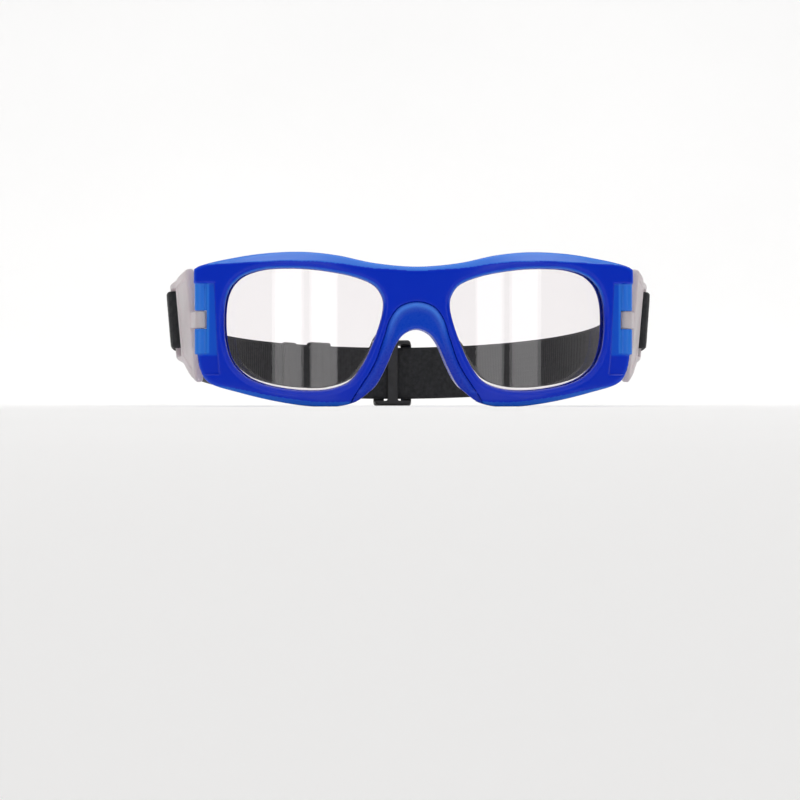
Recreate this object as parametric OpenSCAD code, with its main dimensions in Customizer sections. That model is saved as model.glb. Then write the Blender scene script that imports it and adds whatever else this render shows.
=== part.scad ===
// Sports protective goggles: wrap-round front, flat lenses bent to the same
// wrap, silicone nose saddle, two short folding arms and an elastic head strap.
// Frame: +X to the viewer's right, +Y back towards the wearer, +Z up.
// Origin: front edge of the nose arch, at its apex.

/* [Front frame] */
// Radius of the wrap of the front, seen from above
wrap_r = 150; // [140:1:170]
// Depth of the rim from its front face to its back face
rim_t = 7; // [6.5:0.1:8]
// Depth of the lens face below the front face of the rim
lens_inset = 2.4; // [2:0.1:2.8]

/* [Lenses] */
// Thickness of a lens
lens_t = 2; // [1.6:0.1:2.2]
// Width of lens that is held inside the groove
lens_hold = 1.4; // [1:0.1:1.6]

/* [Nose saddle] */
// Thickness of the saddle's web under the arch
saddle_t = 1.5; // [1:0.1:1.6]
// Depth of the saddle's front lip in its seat
lip_t = 1.6; // [1.2:0.1:1.8]
// Height of the front lip above the front face
lip_proud = 0.6; // [0:0.1:1]

/* [Hinges] */
// Distance of each hinge pin from the middle plane
hinge_x = 72.3; // [72:0.1:72.6]
// Distance of each hinge pin behind the bridge's front face
hinge_y = 21.6; // [21.4:0.1:21.8]
// Outer radius of the hinge knuckles
knuckle_r = 2.4; // [2.2:0.1:2.4]
// Radius of the hinge screw's shank
screw_r = 0.8; // [0.6:0.05:0.9]

/* [Arms] */
// Thickness of the arm's plate
arm_t = 2.8; // [2.4:0.1:3]
// Outward lean of the arms, in degrees
arm_lean = 5; // [3:0.5:6]
// Thickness of the temple pads
pad_t = 2.6; // [2:0.1:3]

/* [Head strap] */
// Width of the webbing
strap_w = 20; // [16:1:20]
// Thickness of one ply of webbing
strap_t = 1.3; // [1:0.1:1.4]
// Radius of the strap round the back of the head, between its two plies
head_r = 77; // [72:1:80]
// Distance of that arc's centre behind the bridge
head_y = 121; // [110:1:130]

/* [Hidden] */
$fn = 96;

blue = [0.04, 0.13, 0.75];
soft_blue = [0.12, 0.32, 0.80];
frosted = [0.86, 0.82, 0.84, 0.85];
clear = [0.85, 0.80, 0.82, 0.35];
steel = [0.75, 0.75, 0.77];
brass = [0.80, 0.65, 0.30];
webbing = [0.10, 0.11, 0.12];
black = [0.06, 0.06, 0.07];
thread = [0.30, 0.31, 0.33];

curve_steps = 3;      // straight steps between two guide points of a curve
run_gap = 0.05;       // radial clearance of a turning fit
seat_gap = 0.1;       // clearance of a seated piece
far = 60;             // reach of a cutting body beyond the part

// ---- outlines of the front, seen from the front: [x, z] of the right half
rim_guides = [[0, 21], [14, 22.2], [27, 25], [39, 26.2], [52, 25.7], [64, 23.9],
    [71.5, 22.2], [74.2, 21.1], [75, 19.2], [74.7, 8], [73.8, -8], [72.4, -14.5],
    [69, -18.4], [60, -21.2], [48, -24.1], [36, -25.9], [26, -25.9], [18.5, -23.5],
    [13.6, -18.8], [10.2, -12.5], [7.2, -5.6], [4.2, -1.6], [0, 0]];
lens_guides = [[64.4, 0], [64.3, 7.4], [63.2, 12.4], [61, 15.9], [57.2, 18.6], [50.8, 20.3],
    [43.2, 20.6], [36.5, 20.3], [29.4, 19.4], [21.6, 17.8], [14.9, 15.1], [11.9, 11.5],
    [11.2, 7.7], [12.3, 2.1], [15.1, -5.7], [18.5, -12.6], [22.6, -17.7], [29.1, -20.2],
    [36.5, -20.7], [43.8, -20.1], [51, -18.6], [56.9, -16], [61.4, -11.6], [63.6, -6.2]];
arch_guides = [[0, 0], [4.2, -1.6], [7.2, -5.6], [10.2, -12.5], [13.6, -18.8], [18.5, -23.5]];
lip_guides = [[0, 9.2], [5.6, 7.6], [9, 3.4], [10.9, -2.4], [14.3, -11.9], [19.2, -19.9]];

// ---- derived places
lens_r = wrap_r - lens_inset;
back_r = wrap_r - rim_t;
arm_front_y = 28.6;
arm_rear_y = 60.6;
lean_z = -18;                       // height where the leaning plate meets its guides
lean_x = 74.2;
arm_guides = [[73, arm_front_y], [75, 36], [76.4, 43], [77.3, 48.5], [78.6, 53], [79.3, 57], [79.3, 61]];
bar_y = 58.5;                       // middle of the rear bar that the strap goes round
bar_l = 4;
slot_l = 7.6;
slot_h = 23.6;
strap_z = 3.8;                      // height of the strap's middle at the arms
bar_x = 79.3 + (strap_z - lean_z) * sin(arm_lean);
ply_gap = 0.2;
ply_in = ply_gap / 2;               // each ply's near face, from the strap's middle surface
ply_out = ply_in + strap_t;
tail_y = 76;                        // end of the sewn loop, behind the arm
adjuster_h = strap_w / 2 + 2.6;     // half height of the adjuster
floor_z = -26;                      // lowest point of the front
adjuster_z = floor_z + adjuster_h;  // so that the adjuster and the front rest on one plane
slope = atan((strap_z - adjuster_z) / (head_y + head_r - bar_y));
// where the straight side of the strap meets the arc round the head
bar_dist = norm([bar_x, bar_y - head_y]);
touch_a = atan2(bar_y - head_y, bar_x) + acos(head_r / bar_dist);
side_l = bar_dist * sin(acos(head_r / bar_dist));

knuckle_top = 15.8;
knuckle_low = -8;
gap_top = 6.55;                     // the arm's knuckle turns between these two heights
gap_low = 0.45;
end_gap = 0.2;

// ---- curves
function curve_at(a, b, c, d, t) = 0.5 * (2 * b + (c - a) * t
    + (2 * a - 5 * b + 4 * c - d) * t * t + (3 * b - a - 3 * c + d) * t * t * t);
function closed_curve(p) = let (n = len(p)) [for (i = [0 : n - 1], k = [0 : curve_steps - 1])
    curve_at(p[(i + n - 1) % n], p[i], p[(i + 1) % n], p[(i + 2) % n], k / curve_steps)];
function open_curve(p) = let (n = len(p), q = concat([2 * p[0] - p[1]], p, [2 * p[n - 1] - p[n - 2]]))
    concat([for (i = [0 : n - 2], k = [0 : curve_steps - 1])
        curve_at(q[i], q[i + 1], q[i + 2], q[i + 3], k / curve_steps)], [p[n - 1]]);
function flipped(p) = [for (i = [len(p) - 1 : -1 : 0]) [-p[i][0], p[i][1]]];
// both halves of an outline whose first and last points lie on the middle plane
function both_halves(p) = concat(p, [for (i = [len(p) - 2 : -1 : 1]) [-p[i][0], p[i][1]]]);
// the side of direction v that faces left of travel
function left_of(v) = [-v[1], v[0]] / norm(v);
// a clockwise ring, and an open line, moved d to the left of travel
function grown(p, d) = let (n = len(p))
    [for (i = [0 : n - 1]) p[i] + d * left_of(p[(i + 1) % n] - p[(i + n - 1) % n])];
function beside(p, d) = let (n = len(p))
    [for (i = [0 : n - 1]) p[i] + d * left_of(p[min(i + 1, n - 1)] - p[max(i - 1, 0)])];

rim = closed_curve(both_halves(rim_guides));
opening = closed_curve([for (i = [len(lens_guides) - 1 : -1 : 0]) lens_guides[i]]);
arch = open_curve(concat([for (i = [5 : -1 : 1]) [-arch_guides[i][0], arch_guides[i][1]]], arch_guides));
lip = open_curve(concat([for (i = [5 : -1 : 1]) [-lip_guides[i][0], lip_guides[i][1]]], lip_guides));
arm_line = open_curve(arm_guides);

// ---- shared bodies
// an outline in the XZ plane, as a bar along Y
module bar(outline) {
    translate([0, far, 0]) rotate([90, 0, 0]) linear_extrude(far + 5) polygon(outline);
}

// everything below an arch line
module below(line) {
    bar(concat(line, [[line[len(line) - 1][0], -far], [line[0][0], -far]]));
}

// upright shell of the front's wrap, between two radii
module wrap(r_out, r_in) {
    translate([0, wrap_r, 0]) difference() {
        cylinder(r = r_out, h = 2 * far, center = true, $fn = 240);
        cylinder(r = r_in, h = 2 * far + 2, center = true, $fn = 240);
    }
}

module both_sides() {
    children();
    mirror([1, 0, 0]) children();
}

module at_hinge(z) {
    translate([hinge_x, hinge_y, z]) children();
}

module post(r, low, high) {
    at_hinge(low) cylinder(r = r, h = high - low, $fn = 48);
}

// plan outline, as a body between two heights
module plan(outline, low, high) {
    translate([0, 0, low]) linear_extrude(high - low) polygon(outline);
}

// ---- front frame
module hinge_cuts() {
    // open mouth at the end of the front
    translate([hinge_x - 1.7, 0, knuckle_low]) cube([10, far, knuckle_top - knuckle_low]);
    // pocket for the neck of the folded arm
    plan([[76, 19], [70.2, 19], [66.2, 21.2], [64.6, 22], [64.6, 34], [76, 34]], gap_low, gap_top);
    // relief behind the front for the folded arm
    plan([[56.5, 18.5], [68, 22.2], [75.4, 28.2], [78, 36], [56.5, 36]], -far, far);
}

module hinge_eye(low, high) {
    post(knuckle_r, low, high);
    translate([hinge_x - 2.6, hinge_y - 2.3, low]) cube([2.6, 4.6, high - low]);
}

module hinge_bores() {
    post(screw_r + run_gap / 2, -7.6, far);
    post(1.75, 19.5, far);
    post(1.5 + run_gap / 2, -far, -2.4);
}

module front_frame() color(blue) difference() {
    union() {
        difference() {
            intersection() {
                bar(rim);
                wrap(wrap_r, back_r);
            }
            both_sides() {
                bar(opening);
                intersection() {
                    bar(grown(opening, lens_hold + seat_gap));
                    wrap(lens_r + seat_gap, lens_r - lens_t - seat_gap);
                }
                hinge_cuts();
            }
            below(beside(arch, saddle_t + seat_gap));
            intersection() {
                below(lip);
                wrap(wrap_r + 3, wrap_r - lip_t - seat_gap);
            }
        }
        both_sides() {
            hinge_eye(gap_top, knuckle_top + 0.01);
            hinge_eye(knuckle_low - 0.01, gap_low);
        }
    }
    both_sides() hinge_bores();
}

// ---- lenses
module lens() color(clear) intersection() {
    bar(grown(opening, lens_hold));
    wrap(lens_r, lens_r - lens_t);
}

module lens_left() mirror([1, 0, 0]) lens();
module lens_right() lens();

// ---- nose saddle: a channel that grips the arch
module nose_saddle_pad() color(soft_blue) difference() {
    union() {
        // front lip in its seat
        intersection() {
            below(beside(lip, -seat_gap));
            bar(rim);
            wrap(wrap_r + lip_proud, wrap_r - lip_t);
        }
        // web under the arch and flange behind it
        intersection() {
            below(beside(arch, saddle_t));
            wrap(wrap_r + lip_proud, back_r - 6);
            translate([-far, -5, -22]) cube([2 * far, far, 40]);
        }
        intersection() {
            below(beside(arch, 4));
            wrap(back_r - seat_gap, back_r - 1.8);
            translate([-far, -5, -18]) cube([2 * far, far, 40]);
        }
    }
    below(arch);
}

// ---- hinge hardware
module hinge_screw() color(steel) difference() {
    union() {
        post(screw_r, -7, 20);
        post(1.6, 19.6, 20.7);
    }
    for (a = [0, 90])
        at_hinge(20.3) rotate([0, 0, a]) cube([2, 0.4, 1], center = true);
}

module hinge_screw_left() mirror([1, 0, 0]) hinge_screw();
module hinge_screw_right() hinge_screw();

module hinge_insert() color(brass) difference() {
    post(1.5, -7.5, -2.5);
    post(screw_r + run_gap / 2, -8, -2);
}

module hinge_insert_left() mirror([1, 0, 0]) hinge_insert();
module hinge_insert_right() hinge_insert();

// ---- arms
module leaning() {
    translate([lean_x, 0, lean_z]) rotate([0, arm_lean, 0]) translate([-lean_x, 0, -lean_z]) children();
}

// wall along the arm's line, between two distances inward of it
module arm_wall(out, in) {
    plan(concat(beside(arm_line, -out), [for (i = [len(arm_line) - 1 : -1 : 0])
        beside(arm_line, in)[i]]), -40, 40);
}

// outline in the YZ plane, as a bar along X
module side_bar(outline) {
    rotate([90, 0, 90]) linear_extrude(120) polygon(outline);
}

side_top = open_curve([[arm_front_y, 21.2], [40, 19.6], [52, 17.9], [58.5, 17], [arm_rear_y, 14.2]]);
side_low = open_curve([[arm_rear_y, -6], [58.5, -8.9], [51, -10.2], [43, -12.2],
    [35, -15.6], [arm_front_y, -17.8]]);
pad_side = closed_curve([[32.2, 4], [34, 12.5], [39.5, 15.5], [45, 13],
    [46.6, 4], [45, -5], [39.5, -8.5], [34, -5.5]]);

module pegs(r, l) {
    for (z = [-2.5, 10]) translate([60, 41, z]) rotate([0, 90, 0]) cylinder(r = r, h = l, $fn = 32);
}

module arm() color(frosted) difference() {
    union() {
        leaning() difference() {
            intersection() {
                arm_wall(arm_t / 2, arm_t / 2);
                side_bar(concat(side_top, side_low));
            }
            translate([70, bar_y - bar_l / 2 - slot_l, strap_z - slot_h / 2]) cube([20, slot_l, slot_h]);
            intersection() {
                arm_wall(-0.6, arm_t);
                pegs(1.25, 30);
            }
        }
        // knuckle, neck and the boss that carries them
        post(knuckle_r, gap_low + end_gap, gap_top - end_gap);
        plan([[70.4, hinge_y], [74.7, hinge_y], [76.2, 29], [76.5, 32], [74.4, 32], [72, 28.6]],
            gap_low + end_gap, gap_top - end_gap);
        plan([[72.2, arm_front_y], [75.8, arm_front_y], [76.5, 31.8], [74.3, 31.8]], -6, 13);
    }
    post(screw_r + run_gap, gap_low - 1, gap_top + 1);
}

module arm_left() mirror([1, 0, 0]) arm();
module arm_right() arm();

module temple_pad() color([0.88, 0.88, 0.90]) leaning() {
    intersection() {
        arm_wall(-arm_t / 2 - 0.1, arm_t / 2 + pad_t);
        side_bar(pad_side);
    }
    intersection() {
        arm_wall(-0.8, arm_t / 2 + 0.6);
        pegs(1.2, 30);
    }
}

module temple_pad_left() mirror([1, 0, 0]) temple_pad();
module temple_pad_right() temple_pad();

// ---- head strap
// slab that the strap lies in: level at the arms' bars and lower at the back
module strap_slab(h) {
    translate([0, bar_y, strap_z]) rotate([-slope, 0, 0])
        translate([-120, -20, -h / 2]) cube([240, 180, h]);
}

// one face of a ply, d outside the strap's middle surface, from angle a0 to angle a1 of the arc
// round the head; it runs on along the straight side where the arc reaches that side
function strap_end(d) = let (q = [head_r + d, (tail_y + 0.5 - bar_y) / cos(touch_a) - side_l])
    [q[0] * cos(touch_a) - q[1] * sin(touch_a), head_y + q[0] * sin(touch_a) + q[1] * cos(touch_a)];
function strap_face(d, a0, a1) = let (n = ceil((a1 - a0) / 3)) concat(
    a0 <= touch_a ? [strap_end(d)] : [],
    [for (k = [0 : n]) let (a = a0 + (a1 - a0) * k / n)
        [0, head_y] + (head_r + d) * [cos(a), sin(a)]],
    a1 >= 180 - touch_a ? flipped([strap_end(d)]) : []);
function reversed(p) = [for (i = [len(p) - 1 : -1 : 0]) p[i]];

module strap_ply(near, away, h, a0, a1) intersection() {
    plan(concat(strap_face(away, a0, a1), reversed(strap_face(near, a0, a1))), -far, far);
    strap_slab(h);
}

module strap_band() color(webbing)
    strap_ply(ply_in, ply_out, strap_w, touch_a, 180 - touch_a);

// inner ply: from the right arm, through the adjuster, to its free end
tail_end_a = 121;
module strap_return_ply() color(webbing)
    strap_ply(-ply_out, -ply_in, strap_w, touch_a, tail_end_a);

// stadium round the rear bar, with its two plies sewn flat behind it
module stadium(r, half) {
    for (s = [-1, 1]) translate([0, s * half]) circle(r = r, $fn = 48);
    square([2 * r, 2 * half], center = true);
}

module strap_loop() color(webbing) intersection() {
    translate([bar_x, 0, strap_z]) rotate([0, arm_lean, 0]) translate([0, bar_y, 0])
        linear_extrude(80, center = true) rotate(touch_a) difference() {
            union() {
                stadium(1.7 + strap_t, 1.3);
                translate([-ply_out, 2]) square([2 * ply_out, tail_y - bar_y - 2]);
            }
            stadium(1.7, 1.3);
        }
    strap_slab(strap_w);
}

module strap_loop_left() mirror([1, 0, 0]) strap_loop();
module strap_loop_right() strap_loop();

// box of stitching on the outer face of the left loop, behind the bar
module loop_stitching_left() color(thread) mirror([1, 0, 0])
    translate([bar_x, 0, strap_z]) rotate([0, arm_lean, 0]) translate([0, bar_y, 0]) rotate([0, 0, touch_a])
        rotate([-slope, 0, 0]) translate([ply_out, 0, 0]) {
            for (z = [-7, 7]) translate([0, 5.5, z - 0.3]) cube([0.35, 10, 0.6]);
            for (y = [5.5, 15]) translate([0, y, -7]) cube([0.35, 0.6, 14]);
        }

// ring round both plies of the strap over a short arc
module strap_ring(near, away, h, hole_h, mid_a, half_a) difference() {
    strap_ply(-away, away, h, mid_a - half_a, mid_a + half_a);
    strap_ply(-near, near, hole_h, mid_a - half_a - 2, mid_a + half_a + 2);
}

module strap_keeper() color(black)
    strap_ring(ply_out + 0.12, ply_out + 0.9, strap_w + 2.4, strap_w + 0.4, 112, 3.4);

// folded clip that closes the webbing's free end
module tail_end_clip() color(black)
    strap_ply(-ply_out - 0.5, -ply_in, strap_w, tail_end_a + 0.1, tail_end_a + 3.4);

// three-bar adjuster: two outer bars, an inner bar and two rails, round the back of the strap
module back_arc(near, away, mid_a, half_a, half_h) {
    translate([0, head_y, adjuster_z - half_h]) rotate([0, 0, mid_a - half_a])
        rotate_extrude(angle = 2 * half_a, $fn = 240)
            translate([head_r + near, 0]) square([away - near, 2 * half_h]);
}

module strap_adjuster() color(black) {
    near = ply_out + 0.35;
    away = near + 1.4;
    window_h = adjuster_h - 1.6;
    difference() {
        back_arc(-away, away, 90, 5.5, adjuster_h);
        back_arc(-near, near, 90, 7, window_h);
        back_arc(0, away + 1, 90, 2.5, window_h);
        for (a = [86, 94]) back_arc(-away - 1, 0, a, 2.4, window_h);
    }
}

front_frame();
lens_left();
lens_right();
nose_saddle_pad();
hinge_screw_left();
hinge_screw_right();
hinge_insert_left();
hinge_insert_right();
arm_left();
arm_right();
temple_pad_left();
temple_pad_right();
strap_loop_left();
strap_loop_right();
loop_stitching_left();
strap_band();
strap_return_ply();
strap_keeper();
tail_end_clip();
strap_adjuster();
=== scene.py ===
import math

import bpy
import numpy as np
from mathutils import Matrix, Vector


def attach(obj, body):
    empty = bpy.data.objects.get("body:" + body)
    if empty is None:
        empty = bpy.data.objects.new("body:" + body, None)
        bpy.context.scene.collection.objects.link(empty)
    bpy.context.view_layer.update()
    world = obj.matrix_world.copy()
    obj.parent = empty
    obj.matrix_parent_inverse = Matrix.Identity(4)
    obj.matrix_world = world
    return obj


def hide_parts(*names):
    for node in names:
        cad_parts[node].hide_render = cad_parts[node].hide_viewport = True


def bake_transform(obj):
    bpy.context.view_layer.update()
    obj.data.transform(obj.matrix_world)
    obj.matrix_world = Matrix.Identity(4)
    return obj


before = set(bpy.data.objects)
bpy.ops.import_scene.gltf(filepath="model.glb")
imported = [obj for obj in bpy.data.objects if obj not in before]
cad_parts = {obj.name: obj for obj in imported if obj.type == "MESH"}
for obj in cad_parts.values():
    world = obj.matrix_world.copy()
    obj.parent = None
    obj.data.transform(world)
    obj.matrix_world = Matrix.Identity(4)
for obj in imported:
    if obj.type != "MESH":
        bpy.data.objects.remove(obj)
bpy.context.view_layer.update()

MM = 0.001
FINE, COARSE = 0.2, 0.36    # cell sizes of the meshed fields, in millimetres

# ---------------------------------------------------------------- dimensions, in millimetres
WRAP_R = 150.0          # wrap of the front, seen from above
RIM_T = 7.0             # depth of the rim
LENS_INSET = 2.4        # lens face below the rim's face
LENS_T = 2.0
LENS_HOLD = 1.4         # lens held in the groove
SADDLE_T = 1.5
LIP_T = 1.6
HINGE = (72.3, 21.6)    # hinge pin, right side
KNUCKLE_R = 2.4
KNUCKLE_LOW, KNUCKLE_TOP = -8.0, 15.8
GAP_LOW, GAP_TOP = 0.45, 6.55
SCREW_R = 0.8
EYE_OUT = 2.6           # reach of a hinge eye's root from the pin, inwards and to each side
EYE_SIDE = 2.3
MOUTH_IN = 1.7          # wall of the hinge's mouth, inwards from the pin
FIT = 0.1               # gap between parts that sit in each other
ARM_T = 2.8
ARM_LEAN = math.radians(5)
LEAN_AT = (74.2, -18.0)  # x and z of the line that the arm leans about
PAD_T = 2.6
PEG_Y, PEG_HEIGHTS, PEG_R = 41, (-2.5, 10), 1.2
STRAP_W, STRAP_T = 20.0, 1.3
HEAD_R, HEAD_Y = 77.0, 121.0
BAR_Y, BAR_L, SLOT_L, SLOT_H = 58.5, 4.0, 7.6, 23.6
STRAP_Z = 3.8
PLY_MID = 0.75          # a ply's middle from the strap's middle
PLY_OUT = PLY_MID + STRAP_T / 2
FLOOR_Z = -26.0
ADJUSTER_H = STRAP_W / 2 + 2.6

BAR_X = 79.3 + (STRAP_Z - LEAN_AT[1]) * math.sin(ARM_LEAN)
SLOPE = math.atan((STRAP_Z - FLOOR_Z - ADJUSTER_H) / (HEAD_Y + HEAD_R - BAR_Y))
BAR_DIST = math.hypot(BAR_X, BAR_Y - HEAD_Y)
TOUCH_A = math.atan2(BAR_Y - HEAD_Y, BAR_X) + math.acos(HEAD_R / BAR_DIST)
SIDE_L = BAR_DIST * math.sin(math.acos(HEAD_R / BAR_DIST))
KEEPER_A = math.radians(112)
TAIL_A = math.radians(121)

# guide points of the right half's outlines, [x, z], the same as in the CAD source
RIM = [(0, 21), (14, 22.2), (27, 25), (39, 26.2), (52, 25.7), (64, 23.9), (71.5, 22.2),
       (74.2, 21.1), (75, 19.2), (74.7, 8), (73.8, -8), (72.4, -14.5), (69, -18.4),
       (60, -21.2), (48, -24.1), (36, -25.9), (26, -25.9), (18.5, -23.5), (13.6, -18.8),
       (10.2, -12.5), (7.2, -5.6), (4.2, -1.6), (0, 0)]
LENS = [(64.4, 0), (64.3, 7.4), (63.2, 12.4), (61, 15.9), (57.2, 18.6), (50.8, 20.3), (43.2, 20.6),
        (36.5, 20.3), (29.4, 19.4), (21.6, 17.8), (14.9, 15.1), (11.9, 11.5), (11.2, 7.7),
        (12.3, 2.1), (15.1, -5.7), (18.5, -12.6), (22.6, -17.7), (29.1, -20.2), (36.5, -20.7),
        (43.8, -20.1), (51, -18.6), (56.9, -16), (61.4, -11.6), (63.6, -6.2)]
ARCH = [(0, 0), (4.2, -1.6), (7.2, -5.6), (10.2, -12.5), (13.6, -18.8), (18.5, -23.5)]
LIP = [(0, 9.2), (5.6, 7.6), (9, 3.4), (10.9, -2.4), (14.3, -11.9), (19.2, -19.9)]
ARM = [(73, 28.6), (75, 36), (76.4, 43), (77.3, 48.5), (78.6, 53), (79.3, 57), (79.3, 61)]
ARM_TOP = [(28.6, 21.2), (40, 19.6), (52, 17.9), (58.5, 17), (60.6, 14.2)]
ARM_LOW = [(60.6, -6), (58.5, -8.7), (51, -10.2), (43, -12.2), (35, -15.6), (28.6, -17.8)]
PAD = [(32.2, 4), (34, 12.5), (39.5, 15.5), (45, 13), (46.6, 4), (45, -5), (39.5, -8.5), (34, -5.5)]


# ---------------------------------------------------------------- curves and distances
def curve(points, closed, steps=8):
    """Points of a smooth line (Catmull-Rom) through guide points."""
    p = np.array(points, float)
    q = np.vstack([p[-1:], p, p[:2]] if closed else [2 * p[0] - p[1], p, 2 * p[-1] - p[-2]])
    t = (np.arange(steps) / steps)[:, None]
    out = []
    for a, b, c, d in zip(q, q[1:], q[2:], q[3:]):
        out.append(0.5 * (2 * b + (c - a) * t + (2 * a - 5 * b + 4 * c - d) * t ** 2
                          + (3 * b - a - 3 * c + d) * t ** 3))
    return np.vstack(out if closed else out + [p[-1:]])


def both_halves(points, closed=True):
    """The right half's guide points with their mirror image."""
    left = [(-x, z) for x, z in points[::-1]]
    return list(points) + left[1:-1] if closed else left[:-1] + list(points)


class Distance:
    """Distance to a line in a plane from a table: negative inside a ring, or right of an open line."""

    def __init__(self, line, closed, low, high, step=0.25):
        self.low, self.step = np.array(low, float), step
        nu, nv = (np.ceil((np.array(high) - self.low) / step).astype(int) + 1)
        u = (self.low[0] + step * np.arange(nu))[:, None]
        v = (self.low[1] + step * np.arange(nv))[None, :]
        best = np.full((nu, nv), 1e9)
        side = np.zeros((nu, nv))
        inside = np.zeros((nu, nv), bool)
        ends = np.roll(line, -1, axis=0) if closed else line[1:]
        for (ax, ay), (bx, by) in zip(line, ends):
            ex, ey = bx - ax, by - ay
            du, dv = u - ax, v - ay
            t = np.clip((du * ex + dv * ey) / (ex * ex + ey * ey), 0, 1)
            d = (du - t * ex) ** 2 + (dv - t * ey) ** 2
            near = d < best
            best = np.where(near, d, best)
            side = np.where(near, ex * dv - ey * du, side)
            if closed and ay != by:
                inside ^= ((v >= min(ay, by)) & (v < max(ay, by))
                           & (u < ax + (v - ay) * ex / ey))
        best = np.sqrt(best)
        if closed:
            self.table = np.where(inside, -best, best)
        else:
            self.table = np.where(side >= 0, best, -best)

    def __call__(self, u, v):
        a = np.clip((u - self.low[0]) / self.step, 0, self.table.shape[0] - 1.001)
        b = np.clip((v - self.low[1]) / self.step, 0, self.table.shape[1] - 1.001)
        a, b = np.broadcast_arrays(a, b)
        i, j = a.astype(int), b.astype(int)
        s, t = a - i, b - j
        w = self.table
        return ((1 - s) * (1 - t) * w[i, j] + s * (1 - t) * w[i + 1, j]
                + (1 - s) * t * w[i, j + 1] + s * t * w[i + 1, j + 1])


def both(a, b, k=0.0):
    """Overlap of two fields, with their edge rounded over k."""
    m = np.maximum(a, b)
    if k:
        m = m + np.maximum(k - np.abs(a - b), 0) ** 2 / (4 * k)
    return m


def either(a, b, k=0.0):
    """Union of two fields, with their corner filled over k."""
    return -both(-a, -b, k)


def without(a, b, k=0.0):
    """Field a with b cut out of it."""
    return both(a, -b, k)


def slab(x, low, high):
    """Field of the space between two planes."""
    return np.abs(x - (low + high) / 2) - (high - low) / 2


def ramp(x, low, high):
    """0 below low and 1 above high, smooth between."""
    t = np.clip((x - low) / (high - low), 0, 1)
    return t * t * (3 - 2 * t)


def skin(field, low, high, step):
    """Points and quads of the place where a field is zero inside a box, one point per cell."""
    low, high = np.array(low, float), np.array(high, float)
    count = np.ceil((high - low) / step).astype(int) + 1
    x, y, z = np.meshgrid(*[low[k] + step * np.arange(count[k]) for k in range(3)],
                          indexing="ij", sparse=True)
    d = np.broadcast_to(field(x, y, z), count)
    cells = count - 1
    corners, crossings, faces = [], [], []
    for k in range(3):
        o1, o2 = (k + 1) % 3, (k + 2) % 3
        first, second = [slice(None)] * 3, [slice(None)] * 3
        first[k], second[k] = slice(None, -1), slice(1, None)
        a, b = d[tuple(first)], d[tuple(second)]
        at = np.argwhere((a < 0) != (b < 0))
        at = at[(at[:, o1] > 0) & (at[:, o1] < cells[o1]) & (at[:, o2] > 0) & (at[:, o2] < cells[o2])]
        va, vb = a[tuple(at.T)], b[tuple(at.T)]
        point = at.astype(float)
        point[:, k] += va / (va - vb)
        ring = []
        for s1, s2 in ((0, 0), (1, 0), (1, 1), (0, 1)):
            cell = at.copy()
            cell[:, o1] -= s1
            cell[:, o2] -= s2
            ring.append(np.ravel_multi_index(cell.T, cells))
        quad = np.stack(ring, axis=1)
        quad[va >= 0] = quad[va >= 0][:, ::-1]
        corners.append(quad.ravel())
        crossings.append(np.repeat(point, 4, axis=0))
        faces.append(quad)
    name, index = np.unique(np.concatenate(corners), return_inverse=True)
    crossings = np.vstack(crossings)
    hits = np.bincount(index)
    points = np.stack([np.bincount(index, crossings[:, k]) / hits for k in range(3)], axis=1)
    points = low + step * points
    for _ in range(3):
        f = field(*points.T)
        g = slopes(field, points)
        move = f[:, None] * g / np.maximum((g ** 2).sum(axis=1), 0.2)[:, None]
        points = points - np.clip(move, -step / 2, step / 2)
    return points, np.searchsorted(name, np.vstack(faces))


def slopes(field, points, e=0.03):
    """Gradient of a field at points, from differences over 2 e."""
    return np.stack([(field(*(points + e * np.eye(3)[k]).T) - field(*(points - e * np.eye(3)[k]).T))
                     / (2 * e) for k in range(3)], axis=1)


def placed(name, data):
    """A new object in the scene for a mesh, light or camera."""
    made = bpy.data.objects.new(name, data)
    bpy.context.scene.collection.objects.link(made)
    return made


def face_list(faces):
    return faces.tolist() if isinstance(faces, np.ndarray) else faces


def solid(name, points, faces, material, **tints):
    """A mesh object from points in millimetres; tints are values per point for its material."""
    mesh = bpy.data.meshes.new(name)
    mesh.from_pydata((np.asarray(points) * MM).tolist(), [], face_list(faces))
    mesh.validate()
    for poly in mesh.polygons:
        poly.use_smooth = True
    for key, values in tints.items():
        layer = mesh.attributes.new(key, "FLOAT", "POINT")
        layer.data.foreach_set("value", np.asarray(values, np.float32))
    mesh.materials.append(material)
    return placed(name, mesh)


def belongs(piece, slot, body, *nodes):
    """The piece stands for CAD nodes and rides on a body; slot is not used."""
    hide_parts(*nodes)
    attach(piece, body)


def mirrored(points, faces):
    """The same mesh on the other side, with its faces still outwards."""
    return points * np.array([-1, 1, 1]), [face[::-1] for face in face_list(faces)]


def joined_rings(base, count, n):
    """Faces of a closed tube of rings with n points each, from point number base on, with its two ends."""
    faces = []
    for k in range(count - 1):
        for i in range(n):
            a, b = base + k * n + i, base + k * n + (i + 1) % n
            faces.append((a, b, b + n, a + n))
    faces.append(tuple(base + i for i in range(n))[::-1])
    faces.append(tuple(base + (count - 1) * n + i for i in range(n)))
    return faces


# ---------------------------------------------------------------- outlines
FRONT_AREA = ((-2, -30), (80, 30))
LENS_LINE = curve(LENS, True)
RIM_D = Distance(curve(both_halves(RIM), True), True, *FRONT_AREA)
LENS_D = Distance(LENS_LINE, True, *FRONT_AREA)
ARCH_D = Distance(curve(both_halves(ARCH, False), False), False, *FRONT_AREA)
LIP_D = Distance(curve(both_halves(LIP, False), False), False, *FRONT_AREA)
ARM_PLAN = Distance(curve(ARM, False), False, (64, 18), (92, 66))
ARM_SIDE = Distance(np.vstack([curve(ARM_TOP, False), curve(ARM_LOW, False)]), True, (18, -26), (66, 28))
PAD_SIDE = Distance(curve(PAD, True), True, (28, -14), (54, 20))


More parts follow.
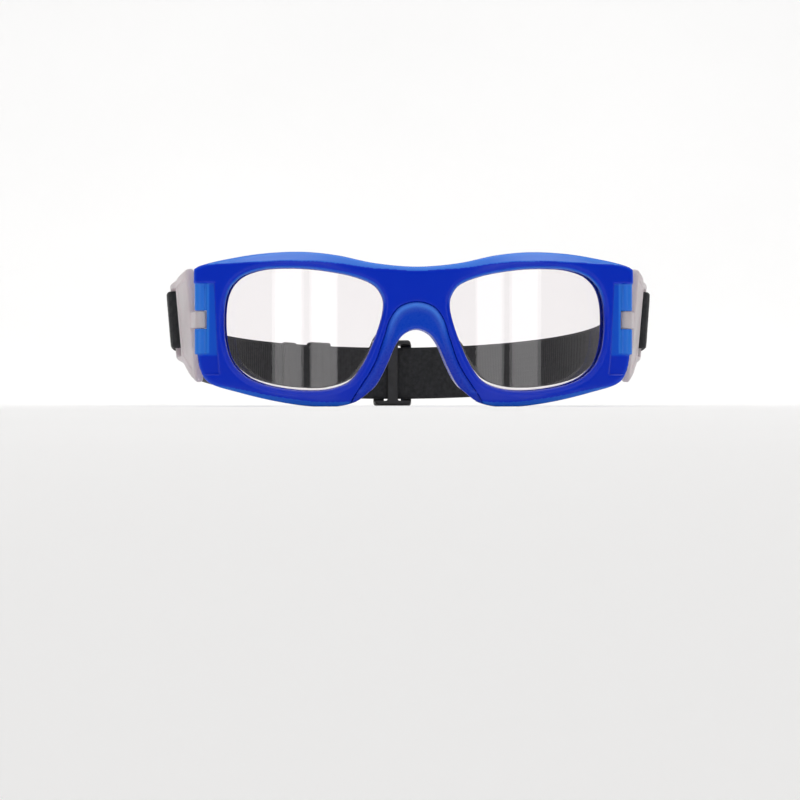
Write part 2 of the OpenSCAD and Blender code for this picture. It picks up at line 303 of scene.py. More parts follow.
def depth_of(x, y):
    """Depth behind the front's face, square to its wrap."""
    return WRAP_R - np.hypot(x, y - WRAP_R)


# ---------------------------------------------------------------- front frame
TOP_BEVEL = ([0, 8, 16, 27, 39, 52, 63, 69, 72, 90], [1.5, 1.5, 2.0, 2.9, 3.4, 3.0, 1.8, 0.7, -0.2, -2])
LOW_BEVEL = ([0, 17, 20, 27, 39, 55, 64, 69, 90], [-2, -1.5, 0.6, 1.6, 1.8, 1.5, 0.9, -0.3, -2])


def bevel_plane(ax, z, rim, depth, slope=1.15):
    """Plane along the rim's front edge, whose width follows the distance from the middle."""
    width = np.where(z > 2, np.interp(ax, *TOP_BEVEL), np.interp(ax, *LOW_BEVEL))
    return (slope * (rim + width) - depth) / math.hypot(slope, 1)


def pocket_line(z):
    """Inner edge of the pocket beside the hinge."""
    return np.interp(z, [-15, -8, 15.8], [66.2, 66.9, 68.0])


def hinge_pocket(ax, z, depth):
    return both(both(pocket_line(z) - ax, slab(z, -15.2, KNUCKLE_TOP)), depth - 0.7)


def frame_field(x, y, z):
    """The front frame, with everything that it holds cut out of it."""
    ax = np.abs(x)
    depth = depth_of(x, y)
    rim = RIM_D(ax, z)
    lens = LENS_D(ax, z)
    f = both(rim, depth - RIM_T, 1.8)
    f = both(f, -depth, 1.1)
    f = both(f, bevel_plane(ax, z, rim, depth), 0.35)
    # lens openings: bevelled in front, rounded behind, grooved between
    wide = 1.0 + ramp(ax, 30, 62) * 0.35 + ramp(-z, 5, 20) * 0.3
    f = both(f, -lens, 0.4)
    f = both(f, (1.15 * (wide - lens) - depth) / 1.52, 0.5)
    f = both(f, (1.3 - lens + depth - RIM_T) / 1.41, 0.8)
    groove = slab(depth, LENS_INSET - FIT, LENS_INSET + LENS_T + FIT)
    f = without(f, both(lens - LENS_HOLD - FIT, groove))
    # seat of the nose saddle
    lip, arch = LIP_D(ax, z), ARCH_D(ax, z)
    f = without(f, both(lip, depth - LIP_T - FIT))
    f = both(f, SADDLE_T + FIT - arch)
    # relief for the folded arm, hinge mouth and the pocket in the face beside it
    back = np.interp(ax, [56.5, 68, 75.4, 90], [18.5, 22.2, 28.2, 34])
    f = np.where(ax > 56.5, both(f, (y - back) * 0.9, 0.8), f)
    f = without(f, hinge_pocket(ax, z, depth), 0.5)
    mouth = both(HINGE[0] - MOUTH_IN - ax, slab(z, KNUCKLE_LOW, KNUCKLE_TOP))
    f = without(f, mouth, 0.5)
    # hinge eyes, swollen where they meet the mouth's wall
    pin = np.hypot(ax - HINGE[0], y - HINGE[1])
    root = both(slab(ax, HINGE[0] - EYE_OUT, HINGE[0]), slab(y, HINGE[1] - EYE_SIDE, HINGE[1] + EYE_SIDE))
    eye = either(pin - KNUCKLE_R, np.maximum(root, 0))
    eyes = either(both(eye, slab(z, GAP_TOP, KNUCKLE_TOP + 0.3), 0.5),
                  both(eye, slab(z, KNUCKLE_LOW - 0.3, GAP_LOW), 0.5))
    f = either(f, eyes, 0.4)
    floor = np.interp(ax, [64.6, 66.2, 70.2], [22.0, 21.2, 19.0])
    f = without(f, both(both(slab(z, GAP_LOW, GAP_TOP), floor - y), 64.6 - ax))
    # screw bore and the seat of its head
    f = without(f, both(pin - SCREW_R - 0.03, -7.6 - z))
    f = without(f, both(pin - 1.75, 19.5 - z), 0.2)
    f = without(f, both(pin - 1.52, z + 2.4))
    return f


def make_frame(material):
    """The front, with painted light in its colour: a painted glow of light through its thin places,
    strongest on the top bevel, and a painted highlight round the tops of the lens openings.
    """
    points, quads = skin(frame_field, (-77, -1.5, -28), (77, 30.5, 28), COARSE)
    x, y, z = points.T
    ax, depth = np.abs(x), depth_of(x, y)
    rim, lens = RIM_D(ax, z), LENS_D(ax, z)
    # Painted light: the bevels, hinge eyes, pocket and outer rim edge are made lighter, as if light shone
    # through thin plastic, and the top bevel most, as it faces the light from above.
    bevel = ramp(-np.abs(bevel_plane(ax, z, rim, depth)), -0.42, 0.0) * (depth < 5.5) * (depth > 0.15)
    top = bevel * ramp(z, 2, 12)
    low = bevel * ramp(-z, 8, 16)
    eyes = ramp(ax, 69.4, 70.0) * ramp(z, -8.3, -7.7) * ramp(-z, -16, -15.4)
    pocket = ramp(ax - pocket_line(z), -0.2, 0.3) * ramp(-depth, -1.6, -1.2)
    pocket = pocket * ramp(z, -15.6, -14.8) * ramp(-z, -16.2, -15.6)
    edge = ramp(-np.abs(rim), -1.6, 0.0)
    thin = (0.78 * top + 0.55 * low + 0.95 * eyes + 0.42 * pocket * (1 - eyes) * ramp(z, -9.2, -8.2)
            + 0.25 * edge)
    # Painted highlight: a light line along the upper edge of each lens opening.
    inner = ramp(-np.abs(lens - 0.3), -0.7, -0.2) * (depth < 2.4) * ramp(z, 4, 16)
    made = solid("front_frame_shell", points, quads, material, thin=np.clip(thin, 0, 1), inner=inner)
    belongs(made, "blue_shell", "front", "front_frame")


# ---------------------------------------------------------------- nose saddle
def saddle_field(x, y, z):
    """A front lip, a web under the arch and a hook behind each inner rim."""
    ax = np.abs(x)
    depth = depth_of(x, y)
    lip, arch, rim = LIP_D(ax, z), ARCH_D(ax, z), RIM_D(ax, z)
    crest = 0.25 + 0.55 * np.exp(-((lip + 1.3) / 0.9) ** 2) + 0.15 * np.exp(-((arch - 1.0) / 1.2) ** 2)
    front = both(both(lip + FIT, -arch, 0.9), slab(depth, -1.5, LIP_T))
    front = both(front, -depth - crest, 0.9)
    front = both(front, rim + FIT, 0.8)
    # the web under the arch opens out behind the rim, as the sides of a nose do
    flare = 0.32 * np.maximum(y - 8.5, 0) * ramp(-z, 0, 10)
    web = both(slab(arch - flare, 0, SADDLE_T), slab(y, -0.5, 14.2), 0.9)
    web = both(web, both(-20.5 - z + 0.15 * (y - 6), -depth - 0.3), 1.2)
    hook = both(both(slab(arch, 0, 4), slab(depth, RIM_T + FIT, RIM_T + 1.8), 0.8), -17 - z, 0.8)
    return either(either(front, web, 0.3), hook, 0.8)


def make_saddle(material):
    """The nose saddle, with a painted highlight along its crest over the arch and painted shade down its
    legs.
    """
    points, quads = skin(saddle_field, (-24, -2.5, -27), (24, 16, 13), 0.35)
    x, y, z = points.T
    ax, depth = np.abs(x), depth_of(x, y)
    lip = LIP_D(ax, z)
    # Painted highlight along the crest, strongest at the top of the arch and fading downwards.
    crest = np.exp(-((lip + 1.2) / 0.8) ** 2) * ramp(-depth, -1.0, 0.2) * (0.15 + 0.85 * ramp(z, -4, 8))
    # Painted shade: the legs darker below, the upper part lighter.
    body = 0.3 * ramp(z, -12, 0)
    made = solid("nose_saddle", points, quads, material, thin=body + (1 - body) * crest)
    belongs(made, "blue_silicone", "front", "nose_saddle_pad")


# ---------------------------------------------------------------- lenses
def make_lens(name, node, material, flip):
    """A bent lens as rings of its outline: two faces, an edge in the groove and a small polished bevel."""
    centre = LENS_LINE.mean(axis=0)
    ahead = np.roll(LENS_LINE, -1, axis=0) - np.roll(LENS_LINE, 1, axis=0)
    out = np.stack([ahead[:, 1], -ahead[:, 0]], axis=1)
    out /= np.linalg.norm(out, axis=1)[:, None]
    # the bevel comes out of the groove only along the bottom
    open_edge = (0.3 - 0.65 * ramp(-LENS_LINE[:, 1], 8, 16))[:, None]
    inner = LENS_LINE + out * open_edge
    shares = np.linspace(0.04, 1, 26)
    edge = ((open_edge + 0.5, 0.18), (open_edge + 1.0, 0.45), (LENS_HOLD, 0.6),
            (LENS_HOLD, LENS_T - 0.3), (LENS_HOLD - 0.3, LENS_T))
    rings = [(centre + (inner - centre) * s, LENS_INSET) for s in shares]
    rings += [(LENS_LINE + out * grow, LENS_INSET + depth) for grow, depth in edge]
    rings += [(centre + (inner - centre) * s, LENS_INSET + LENS_T) for s in shares[::-1]]
    points = []
    for line, depth in rings:
        r = WRAP_R - depth
        points.append(np.stack([line[:, 0], WRAP_R - np.sqrt(r * r - line[:, 0] ** 2), line[:, 1]], axis=1))
    points = np.vstack(points)
    n = len(LENS_LINE)
    faces = joined_rings(0, len(rings), n)
    if flip:
        points, faces = mirrored(points, faces)
    belongs(solid(name, points, faces, material), "lens", "front", node)


# ---------------------------------------------------------------- arms and their pads
def upright(x, z):
    """Place in the arm's own upright frame, before it leans out."""
    c, s = math.cos(ARM_LEAN), math.sin(ARM_LEAN)
    dx, dz = x - LEAN_AT[0], z - LEAN_AT[1]
    return LEAN_AT[0] + c * dx - s * dz, LEAN_AT[1] + s * dx + c * dz


def arm_field(x, y, z):
    """A plate with a sunk panel and the strap's slot, a boss, a neck and the hinge's middle eye."""
    u, w = upright(x, z)
    across, side = -ARM_PLAN(u, y), ARM_SIDE(y, w)
    plate = both(slab(across, -ARM_T / 2, ARM_T / 2), side, 1.1)
    panel = both(both(side + 3.2, y - BAR_Y + SLOT_L + BAR_L / 2 + 2.2, 1.5), ARM_T / 2 - 0.4 - across)
    plate = without(plate, panel, 0.5)
    slot = both(slab(y, BAR_Y - BAR_L / 2 - SLOT_L, BAR_Y - BAR_L / 2),
                slab(w, STRAP_Z - SLOT_H / 2, STRAP_Z + SLOT_H / 2), 0.6)
    plate = without(plate, slot, 0.5)
    for height in PEG_HEIGHTS:
        plate = without(plate, both(np.hypot(y - PEG_Y, w - height) - PEG_R - 0.05, across - FIT))
    pin = np.hypot(x - HINGE[0], y - HINGE[1])
    tall = slab(z, GAP_LOW + 0.2, GAP_TOP - 0.2)
    neck_low = np.interp(y, [21.6, 28.6, 32], [70.4, 72.0, 74.4])
    neck_high = np.interp(y, [21.6, 29, 32], [74.7, 76.2, 76.5])
    neck = both(both(slab(x, neck_low, neck_high), slab(y, 21.6, 31.6), 0.3), tall, 0.4)
    boss_in = np.interp(y, [28.6, 31.8], [72.2, 74.3])
    boss = both(both(boss_in - x, x - 76.0, 0.4), both(slab(y, 28.6, 31.8), slab(z, -6, 13), 0.8), 0.8)
    f = either(plate, boss, 1.0)
    f = either(f, neck, 0.6)
    f = either(f, both(pin - KNUCKLE_R, tall, 0.4), 0.3)
    return without(f, pin - SCREW_R - 0.05)


def pad_field(x, y, z):
    """A domed cushion with grooves and two pegs into the arm."""
    u, w = upright(x, z)
    across, side = -ARM_PLAN(u, y), PAD_SIDE(y, w)
    dome = 0.5 * ramp(-side, 0, 5)
    grooves = 0.3 * (np.cos(w * math.pi / 1.7) > 0.86) * ramp(-side, 1.2, 2.2)
    body = both(slab(across, -ARM_T / 2 - PAD_T + 0.5 - dome + grooves, -ARM_T / 2 - FIT), side, 1.0)
    for height in PEG_HEIGHTS:
        peg = both(np.hypot(y - PEG_Y, w - height) - PEG_R, slab(across, -ARM_T / 2 - 0.6, 0.0), 0.3)
        body = either(body, peg, 0.2)
    return body


def make_side(side, arm_material, pad_material, flip):
    """An arm and its temple cushion, made on the right and mirrored for the left."""
    body = side + "_arm"
    points, quads = skin(arm_field, (68, 17, -21), (86, 63, 25), COARSE)
    if flip:
        points, quads = mirrored(points, quads)
    arm = solid("arm_shell_" + side, points, quads, arm_material)
    belongs(arm, "frosted_arm", body, "arm_" + side)
    points, quads = skin(pad_field, (66, 30, -13), (84, 52, 20), 0.3)
    if flip:
        points, quads = mirrored(points, quads)
    pad = solid("temple_cushion_" + side, points, quads, pad_material)
    belongs(pad, "pad_silicone", body, "temple_pad_" + side)


# ---------------------------------------------------------------- head strap
def strap_place(q):
    """Place, outward direction and direction of travel of the strap's middle, q behind the right bar."""
    q = np.asarray(q, float)
    a = TOUCH_A + np.maximum(q - SIDE_L, 0) / HEAD_R
    along = np.minimum(q - SIDE_L, 0)
    out = np.stack([np.cos(a), np.sin(a), 0 * a], axis=1)
    travel = np.stack([-np.sin(a), np.cos(a), 0 * a], axis=1)
    place = np.array([0, HEAD_Y, 0]) + HEAD_R * out + along[:, None] * travel
    place[:, 2] = STRAP_Z - (place[:, 1] - BAR_Y) * math.tan(SLOPE)
    return place, out, travel


def reach(angle):
    """Distance along the strap from the right bar to an angle of the arc round the head."""
    return SIDE_L + HEAD_R * (angle - TOUCH_A)


def strap_route(outer_end, inner_end, pitch):
    """Distances q and offsets d of a ply: along the outside, round the bar and back along the inside."""
    turn_r, turn_q = 2.35, -1.3
    outer = np.arange(outer_end, turn_q, -pitch)
    inner = np.arange(turn_q, inner_end, pitch)
    turns = np.linspace(0, math.pi, int(math.pi * turn_r / pitch))[1:-1]

    def spread(q):
        return turn_r + (PLY_MID - turn_r) * ramp(q, 1.2, 8.5)

    q = np.concatenate([outer, turn_q - turn_r * np.sin(turns), inner])
    d = np.concatenate([spread(outer), turn_r * np.cos(turns), -spread(inner)])
    return q, d


def webbing(name, outer_end, inner_end, material, flip):
    """A length of webbing round a bar and back, with woven ribs, and its length in millimetres."""
    pitch, across = 0.28, 34        # mm between rows, and points across a row
    weft_pitch, weft_high, warp_high, selvedge = 1.12, 0.045, 0.02, 0.9
    q, d = strap_route(outer_end, inner_end, pitch)
    place, out, travel = strap_place(q)
    middle = place + out * d[:, None]
    ahead = np.gradient(middle, axis=0)
    gap = np.linalg.norm(ahead, axis=1)
    ahead /= gap[:, None]
    length = np.cumsum(gap)
    # the width stands square to the strap's slope, and leans out with the arm near the bar
    lean = ARM_LEAN * (1 - ramp(q, 12, 60))
    up = np.tile([0.0, 0.0, 1.0], (len(q), 1)) + out * np.tan(lean)[:, None]
    up[:, 1] += math.tan(SLOPE) * travel[:, 1] ** 2
    up -= ahead * (up * ahead).sum(axis=1)[:, None]
    up /= np.linalg.norm(up, axis=1)[:, None]
    normal = np.cross(up, ahead)
    v = np.linspace(-1, 1, across)
    half = STRAP_T / 2 * np.sqrt(np.maximum(1 - np.abs(v) ** 14, 0)) * (1 - 0.10 * (np.abs(v) < 0.88))
    rib = weft_high * np.cos(2 * math.pi * length / weft_pitch)
    cord = warp_high * np.cos(v * math.pi * 11)
    thick = half[None, :] + (rib[:, None] + cord[None, :]) * (np.abs(v) < selvedge)
    rows = len(q)
    points, run_map, across_map = [], [], []
    for s in (1, -1):
        points.append(middle[:, None, :] + s * normal[:, None, :] * thick[:, :, None]
                      + up[:, None, :] * v[None, :, None] * STRAP_W / 2)
        run_map.append(np.repeat(length, across))
        across_map.append(np.tile(v * STRAP_W / 2, rows) + (0 if s > 0 else 2 * STRAP_W))
    points = np.vstack([p.reshape(-1, 3) for p in points])
    i, j = np.meshgrid(np.arange(rows - 1), np.arange(across - 1), indexing="ij")
    a = (i * across + j).ravel()
    front = np.stack([a, a + across, a + across + 1, a + 1], axis=1)
    size = rows * across
    back = front[:, ::-1] + size
    rims = []
    for j0, turn in ((0, 1), (across - 1, -1)):
        k = np.arange(rows - 1) * across + j0
        rims.append(np.stack([k, k + size, k + size + across, k + across], axis=1)[:, ::turn])
    for i0, turn in ((0, -1), (rows - 1, 1)):
        k = i0 * across + np.arange(across - 1)
        rims.append(np.stack([k, k + size, k + size + 1, k + 1], axis=1)[:, ::turn])
    quads = np.vstack([front, back] + rims)
    if flip:
        points, quads = mirrored(points, quads)
    made = solid(name, points, quads, material,
                 run=np.concatenate(run_map), across=np.concatenate(across_map))
    return made, float(length[-1])


def make_strap(material):
    """The two lengths of webbing, which meet under the keeper."""
    spans = {"left": ("left_arm", reach(math.pi - KEEPER_A), 15.5, True, ["strap_loop_left"]),
             "right": ("right_arm", reach(KEEPER_A), reach(TAIL_A), False,
                       ["strap_band", "strap_return_ply", "strap_loop_right"])}
    for side, (body, outer, inner, flip, nodes) in spans.items():
        made, length = webbing("strap_webbing_" + side, outer, inner, material, flip)
        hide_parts(*nodes)
        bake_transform(made)


def strap_point(q, d, h):
    """Point d outside the strap's middle surface and h above its middle line, at the leaning arm end."""
    place, out, travel = strap_place([q])
    up = np.array([0, math.tan(SLOPE), 1.0]) + out[0] * math.tan(ARM_LEAN)
    up -= travel[0] * (up @ travel[0])
    up /= np.linalg.norm(up)
    return place[0] + out[0] * d + up * h


def thread_run(ends, spacing, stitch, radius, sink, offset):
    """Stitches as short arched threads between two corners given as (q, h)."""
    (q0, h0), (q1, h1) = ends
    total = math.hypot(q1 - q0, h1 - h0)
    count = max(int(total / spacing), 1)
    points, faces = [], []
    sides, rings = 8, 7
    for k in range(count):
        base = len(points)
        for r in range(rings):
            t = r / (rings - 1)
            s = (k + 0.5) / count * total + (t - 0.5) * stitch
            q, h = q0 + (q1 - q0) * s / total, h0 + (h1 - h0) * s / total
            lift = math.sin(t * math.pi)
            fat = radius * (0.55 + 0.45 * lift)
            d = offset + radius * lift - sink * (1 - lift)
            here = strap_point(q, d, h)
            step = 0.05
            ahead = strap_point(q + (q1 - q0) / total * step, d, h + (h1 - h0) / total * step) - here
            ahead /= np.linalg.norm(ahead)
            out = strap_point(q, d + 1, h) - here
            wide = np.cross(ahead, out)
            for m in range(sides):
                a = 2 * math.pi * m / sides
                points.append(here + fat * (math.cos(a) * out + math.sin(a) * wide))
        faces += joined_rings(base, rings, sides)
    return points, faces


def make_stitching(material):
    """Box and cross of stitches that close the left loop, on its outer and inner face."""
    near, far, half = 5.8, 14.6, 7.2
    box = [(near, -half), (far, -half), (far, half), (near, half)]
    runs = [(box[i], box[(i + 1) % 4]) for i in range(4)] + [(box[0], box[2]), (box[1], box[3])]
    spacing, stitch, radius, sink = 2.1, 1.75, 0.2, 0.16
    points, faces = [], []
    for side in (1, -1):
        for run in runs:
            p, f = thread_run(run, spacing, stitch, side * radius, side * sink, side * PLY_OUT)
            faces += [tuple(i + len(points) for i in face) for face in f]
            points += p
    points, faces = mirrored(np.array(points), faces)
    made = solid("loop_stitches", points, faces, material)
    belongs(made, "thread", "left_arm", "loop_stitching_left")


def ring_place(points, angle):
    """From (along, outward, up) round the strap's arc at an angle to the row's axes."""
    s, d, h = points.T
    a = angle + s / HEAD_R
    r = HEAD_R + d
    y = HEAD_Y + r * np.sin(a)
    return np.stack([r * np.cos(a), y, STRAP_Z - (y - BAR_Y) * math.tan(SLOPE) + h], axis=1)


def within(x, half):
    """Field of the space within half on each side of zero."""
    return slab(x, -half, half)


def keeper_field(s, d, h):
    """A ribbed ring round both plies. s is along the strap, d outward and h up."""
    hole = both(within(d, PLY_OUT + 0.12), within(h, STRAP_W / 2 + 0.25), 0.5)
    ribs = 0.12 * np.cos(s * math.pi / 1.5)
    shell = both(within(d, PLY_OUT + 0.8 + ribs), within(h, STRAP_W / 2 + 1.1), 1.2)
    return without(both(shell, within(s, 4.4), 0.7), hole, 0.2)


def clip_field(s, d, h):
    """The folded clip on the return ply's end, with one pressed line."""
    body = both(slab(s, -1.4, 4.2), within(h, STRAP_W / 2 + 0.25), 0.5)
    body = both(body, slab(d, -PLY_OUT - 0.45, -0.12), 0.5)
    return body + 0.12 * np.exp(-((s - 2.2) / 0.5) ** 2) * (np.abs(h) < STRAP_W / 2 - 1)


def adjuster_field(s, d, h):
    """A frame with two outer bars in front of the strap and a middle bar behind it."""
    near, away = PLY_OUT + 0.35, PLY_OUT + 1.75
    window = ADJUSTER_H - 1.6
    body = both(both(within(s, 7.2), within(h, ADJUSTER_H), 1.6), within(d, away), 0.9)
    body = without(body, both(within(d, near), within(h, window), 0.5), 0.3)
    body = without(body, both(both(within(s, 3.2), within(h, window), 0.8), -d), 0.4)
    for side in (-1, 1):
        inner = both(both(slab(s * side, 2.1, 9), within(h, window), 0.8), d)
        body = without(body, inner, 0.4)
    # three grip ribs on each outer bar
    ribs = 0.13 * np.cos(s * 2 * math.pi / 1.15) * (np.abs(h) < window - 2) * (np.abs(s) > 3.6) * (d > 0)
    return body - ribs * ramp(np.abs(s), 3.6, 4.0) * ramp(-np.abs(s), -6.9, -6.5)


def make_strap_hardware(plastic, rubber):
    """Adjuster, keeper and tail clip, each bent to the strap's arc."""
    rows = [("adjuster_three_bar", adjuster_field, (-8, -4.2, -14), (8, 4.2, 14), 0.22, math.pi / 2,
             "strap_adjuster", "black_plastic", "adjuster", plastic),
            ("keeper_ring", keeper_field, (-5.2, -3.2, -12), (5.2, 3.2, 12), FINE, KEEPER_A,
             "strap_keeper", "keeper_rubber", "front", rubber),
            ("tail_clip", clip_field, (-2.2, -3, -11), (5.2, 0.6, 11), FINE, TAIL_A,
             "tail_end_clip", "black_plastic", "front", plastic)]
    for name, field, low, high, step, angle, node, slot, body, material in rows:
        points, quads = skin(field, low, high, step)
        made = solid(name, ring_place(points, angle), quads[:, ::-1], material)
        belongs(made, slot, body, node)


# ---------------------------------------------------------------- materials
class Shade:
    """A material with its shader, and short ways to add nodes."""

    def __init__(self, name, **values):
        self.material = bpy.data.materials.new(name)
        self.material.use_nodes = True
        self.tree = self.material.node_tree
        self.shader = self.tree.nodes["Principled BSDF"]
        for key, value in values.items():
            self.shader.inputs[key.replace("_", " ")].default_value = value

    def node(self, kind, values=(), **links):
        made = self.tree.nodes.new(kind)
        for key, value in dict(values).items():
            made.inputs[key].default_value = value
        for key, source in links.items():
            self.tree.links.new(source, made.inputs[key])
        return made

    def attribute(self, name):
        """A value that the mesh carries on its points."""
        made = self.node("ShaderNodeAttribute")
        made.attribute_name = name
        return made.outputs["Fac"]

    def noise(self, scale, detail=3.0, rough=0.5):
        place = self.node("ShaderNodeTexCoord").outputs["Object"]
        return self.node("ShaderNodeTexNoise", {"Scale": scale, "Detail": detail, "Roughness": rough},
                         Vector=place).outputs["Fac"]

    def centred(self, scale, detail, share):
        """Noise about zero, for a slow drift of tone."""
        return self.math("MULTIPLY", self.math("SUBTRACT", self.noise(scale, detail), 0.5), share)

    def ramp(self, value, stops):
        """Colours, or grey levels, along a value."""
        made = self.node("ShaderNodeValToRGB", Fac=value)
        line = made.color_ramp.elements
        while len(line) < len(stops):
            line.new(0.5)
        for element, (at, colour) in zip(line, stops):
            element.position = at
            element.color = (*colour, 1) if isinstance(colour, tuple) else (colour, colour, colour, 1)
        return made.outputs["Color"]

    def math(self, kind, a, b=0.0):
        made = self.tree.nodes.new("ShaderNodeMath")
        made.operation = kind
        for k, value in enumerate((a, b)):
            if isinstance(value, (int, float)):
                made.inputs[k].default_value = value
            else:
                self.tree.links.new(value, made.inputs[k])
        return made.outputs[0]

    def bump(self, height, distance, strength=1.0):
        made = self.node("ShaderNodeBump", {"Distance": distance, "Strength": strength}, Height=height)
        self.tree.links.new(made.outputs["Normal"], self.shader.inputs["Normal"])

    def colour(self, value, stops):
        self.tree.links.new(self.ramp(value, stops), self.shader.inputs["Base Color"])

    def rough(self, value, low, high, first=0.3, last=0.7):
        """Roughness from low to high, as a value goes from first to last."""
        self.tree.links.new(self.ramp(value, [(first, low), (last, high)]), self.shader.inputs["Roughness"])


def blue_plastic():
    m = Shade("blue_shell_plastic", IOR=1.45, Specular_IOR_Level=0.22, Subsurface_Weight=0.15,
              Subsurface_Scale=0.003, Coat_Weight=0.05, Coat_Roughness=0.05)
    m.shader.inputs["Subsurface Radius"].default_value = (0.15, 0.4, 1.0)
    # The base colour follows painted light: the painted glow in thin places and the painted highlight round
    # the lens tops, plus a slow random drift of tone.
    thin = m.math("ADD", m.attribute("thin"), m.centred(60, 2, 0.10))
    thin = m.math("ADD", thin, m.math("MULTIPLY", m.attribute("inner"), 0.6))
    m.colour(thin, [(0.0, (0.001, 0.028, 0.55)), (0.22, (0.002, 0.054, 0.62)),
                    (0.6, (0.010, 0.12, 0.66)), (1.0, (0.028, 0.20, 0.76))])
    m.rough(m.noise(900, 4, 0.7), 0.13, 0.21)
    m.bump(m.noise(1400, 2), 0.00002, 0.35)
    return m.material


def blue_silicone():
    m = Shade("nose_saddle_silicone", IOR=1.42, Specular_IOR_Level=0.16, Subsurface_Weight=0.2,
              Subsurface_Scale=0.003, Coat_Weight=0.3, Coat_Roughness=0.06)
    m.shader.inputs["Subsurface Radius"].default_value = (0.2, 0.5, 1.0)
    # The base colour follows painted light: the painted highlight on the crest and painted shade down the
    # legs, plus a little random tone.
    m.colour(m.math("ADD", m.attribute("thin"), m.centred(90, 3, 0.06)),
             [(0.0, (0.001, 0.028, 0.46)), (0.3, (0.002, 0.056, 0.56)), (1.0, (0.05, 0.21, 0.78))])
    m.rough(m.noise(1600, 3), 0.24, 0.34)
    m.bump(m.noise(2600, 2), 0.00003, 0.4)
    return m.material


def frosted_plastic(name, dark, light, rough):
    m = Shade(name, IOR=1.47, Subsurface_Weight=0.5, Subsurface_Scale=0.006, Transmission_Weight=0.25)
    m.shader.inputs["Subsurface Radius"].default_value = (1.0, 0.8, 0.85)
    m.colour(m.noise(70, 3), [(0.3, dark), (0.7, light)])
    m.rough(m.noise(1500, 3), rough, rough + 0.12)
    m.bump(m.noise(3000, 2), 0.00003, 0.5)
    return m.material


def lens_polycarbonate():
    m = Shade("lens_polycarbonate", IOR=1.5, Transmission_Weight=1.0)
    m.colour(m.noise(25, 2), [(0.3, (0.955, 0.925, 0.935)), (0.7, (0.97, 0.94, 0.95))])
    m.rough(m.noise(400, 3), 0.0, 0.012, 0.35, 0.75)
    return m.material


def woven_webbing():
    m = Shade("strap_weave", IOR=1.45, Sheen_Weight=0.4, Sheen_Roughness=0.35)
    warp_pitch, weft_pitch = 0.62, 0.56     # millimetres
    warp = m.math("SINE", m.math("MULTIPLY", m.attribute("across"), 2 * math.pi / warp_pitch))
    weft = m.math("SINE", m.math("MULTIPLY", m.attribute("run"), 2 * math.pi / weft_pitch))
    weave = m.math("MULTIPLY", warp, weft)
    fibre = m.noise(5000, 3, 0.7)
    height = m.math("ADD", m.math("MULTIPLY", weave, 0.5), m.math("MULTIPLY", fibre, 0.5))
    tone = m.math("ADD", m.math("MULTIPLY", weave, 0.18), m.math("MULTIPLY", m.noise(700, 4), 0.9))
    m.colour(tone, [(0.2, (0.006, 0.0065, 0.008)), (0.8, (0.030, 0.031, 0.035))])
    m.rough(fibre, 0.7, 0.9)
    m.bump(height, 0.00012, 0.8)
    return m.material


def stitch_thread():
    m = Shade("stitch_thread", Sheen_Weight=0.3)
    m.colour(m.noise(3500, 3), [(0.3, (0.03, 0.031, 0.034)), (0.7, (0.085, 0.087, 0.095))])
    m.rough(m.noise(2500, 2), 0.5, 0.7)
    m.bump(m.noise(4000, 3), 0.00005, 0.7)
    return m.material


def black_moulded(name, rough, scale):
    m = Shade(name, IOR=1.5)
    m.colour(m.noise(300, 4), [(0.3, (0.010, 0.010, 0.011)), (0.7, (0.022, 0.022, 0.024))])
    m.rough(m.noise(scale, 3), rough, rough + 0.15)
    m.bump(m.noise(scale, 3), 0.00004, 0.6)
    return m.material


def turned_metal(name, dark, light):
    m = Shade(name, Metallic=1.0)
    m.colour(m.noise(2200, 3), [(0.3, dark), (0.7, light)])
    m.rough(m.noise(3000, 2), 0.18, 0.34)
    m.bump(m.noise(3500, 2), 0.00002, 0.4)
    return m.material


def give_cad_nodes_materials():
    steel = turned_metal("screw_steel_turned", (0.45, 0.45, 0.47), (0.66, 0.66, 0.68))
    brass = turned_metal("insert_brass_turned", (0.55, 0.38, 0.14), (0.78, 0.58, 0.26))
    for side in ("left", "right"):
        for node, material in (("hinge_screw_", steel), ("hinge_insert_", brass)):
            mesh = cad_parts[node + side].data
            mesh.materials.clear()
            mesh.materials.append(material)


# ---------------------------------------------------------------- studio, in metres
def aim(made, target):
    way = Vector(target) - Vector(made.location)
    made.rotation_euler = way.to_track_quat("-Z", "Y").to_euler()


def soft_box(name, place, target, size, power):
    light = bpy.data.lights.new(name, "AREA")
    light.shape = "RECTANGLE"
    light.size, light.size_y = size
    light.energy = power
    made = placed(name, light)
    made.location = place
    aim(made, target)


def make_floor():
    """A pale floor that curves up into a backdrop behind the object."""
    m = Shade("studio_floor", Roughness=0.9, Specular_IOR_Level=0.1)
    m.colour(m.noise(3, 2), [(0.3, 0.93), (0.7, 0.95)])
    z, near, half, back, rise, bend = FLOOR_Z * MM, -4.0, 5.0, 1.2, 3.5, 0.8
    profile = [(near, z)] + [(back + bend * math.sin(a), z + bend * (1 - math.cos(a)))
                             for a in np.linspace(0, math.pi / 2, 32)] + [(back + bend, z + rise)]
    points = np.array([(x, y, h) for y, h in profile for x in (-half, half)])
    faces = [(2 * i, 2 * i + 1, 2 * i + 3, 2 * i + 2) for i in range(len(profile) - 1)]
    solid("studio_floor", points / MM, faces, m.material)


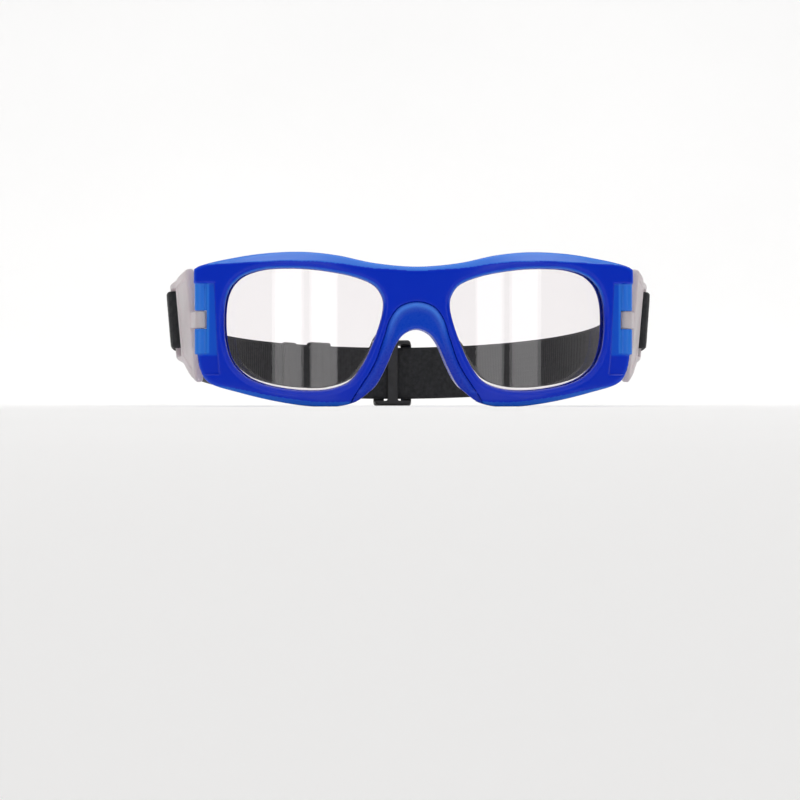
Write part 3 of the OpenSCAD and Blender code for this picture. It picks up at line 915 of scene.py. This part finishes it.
def make_world():
    """Soft light from above and behind, little from in front, so that the front keeps its deep blue."""
    world = bpy.data.worlds.new("studio")
    bpy.context.scene.world = world
    world.use_nodes = True
    tree = world.node_tree
    way = tree.nodes.new("ShaderNodeTexCoord").outputs["Generated"]
    axes = tree.nodes.new("ShaderNodeSeparateXYZ")
    tree.links.new(way, axes.inputs[0])
    most = tree.nodes.new("ShaderNodeMath")
    most.operation = "MAXIMUM"
    for k, (axis, low, high) in enumerate((("Z", 0.15, 0.75), ("Y", 0.1, 0.7))):
        part = tree.nodes.new("ShaderNodeMapRange")
        part.interpolation_type = "SMOOTHSTEP"
        for key, value in (("From Min", low), ("From Max", high), ("To Min", 0.10), ("To Max", 0.92)):
            part.inputs[key].default_value = value
        tree.links.new(axes.outputs[axis], part.inputs["Value"])
        tree.links.new(part.outputs["Result"], most.inputs[k])
    tree.links.new(most.outputs[0], tree.nodes["Background"].inputs["Strength"])
    tree.nodes["Background"].inputs["Color"].default_value = (1.0, 0.99, 0.98, 1)


def make_lights():
    """A soft box on each side, in two leaves with a dark seam between them, one above and one behind."""
    middle, away, leaf_high, watts_per_m = (0, 0.03, 0), 1.3, 0.75, 4.0
    for side in (-1, 1):
        for azimuth, width in ((24.6, 0.19), (35.4, 0.21)):
            a = math.radians(azimuth)
            soft_box("side_box", (side * away * math.sin(a), -away * math.cos(a), 0.30), middle,
                     (width, leaf_high), watts_per_m * width)
    soft_box("top_box", (0, -0.35, 1.1), middle, (1.3, 0.5), 0.7)
    soft_box("backdrop_box", (0, 0.5, 1.7), (0, 2.0, 0.3), (3.0, 0.6), 18)


def make_camera():
    """Level camera a little to the object's left, 1.2 m away, as the photograph is taken."""
    data = bpy.data.cameras.new("camera")
    data.sensor_width = 36
    view = math.radians(12.74)
    data.lens = data.sensor_width / 2 / math.tan(view / 2)
    data.clip_start, data.clip_end = 0.001, 30
    camera = placed("camera", data)
    turn, away = math.radians(2.5), 1.2
    target = (-0.0057, 0, -0.0238)
    camera.location = (target[0] - away * math.sin(turn), -away * math.cos(turn), target[2])
    aim(camera, target)
    bpy.context.scene.camera = camera


# ---------------------------------------------------------------- scene
bpy.context.scene.view_settings.view_transform = "Standard"
make_camera()
make_floor()
make_world()
make_lights()
make_frame(blue_plastic())
make_saddle(blue_silicone())
lens_material = lens_polycarbonate()
make_lens("lens_pane_right", "lens_right", lens_material, False)
make_lens("lens_pane_left", "lens_left", lens_material, True)
frosted = frosted_plastic("arm_frosted_plastic", (0.66, 0.59, 0.61), (0.77, 0.70, 0.72), 0.34)
pad_silicone = frosted_plastic("temple_pad_silicone", (0.70, 0.70, 0.73), (0.80, 0.80, 0.83), 0.45)
make_side("right", frosted, pad_silicone, False)
make_side("left", frosted, pad_silicone, True)
make_strap(woven_webbing())
make_stitching(stitch_thread())
make_strap_hardware(black_moulded("adjuster_plastic", 0.38, 2200),
                    black_moulded("keeper_rubber", 0.55, 3000))
give_cad_nodes_materials()
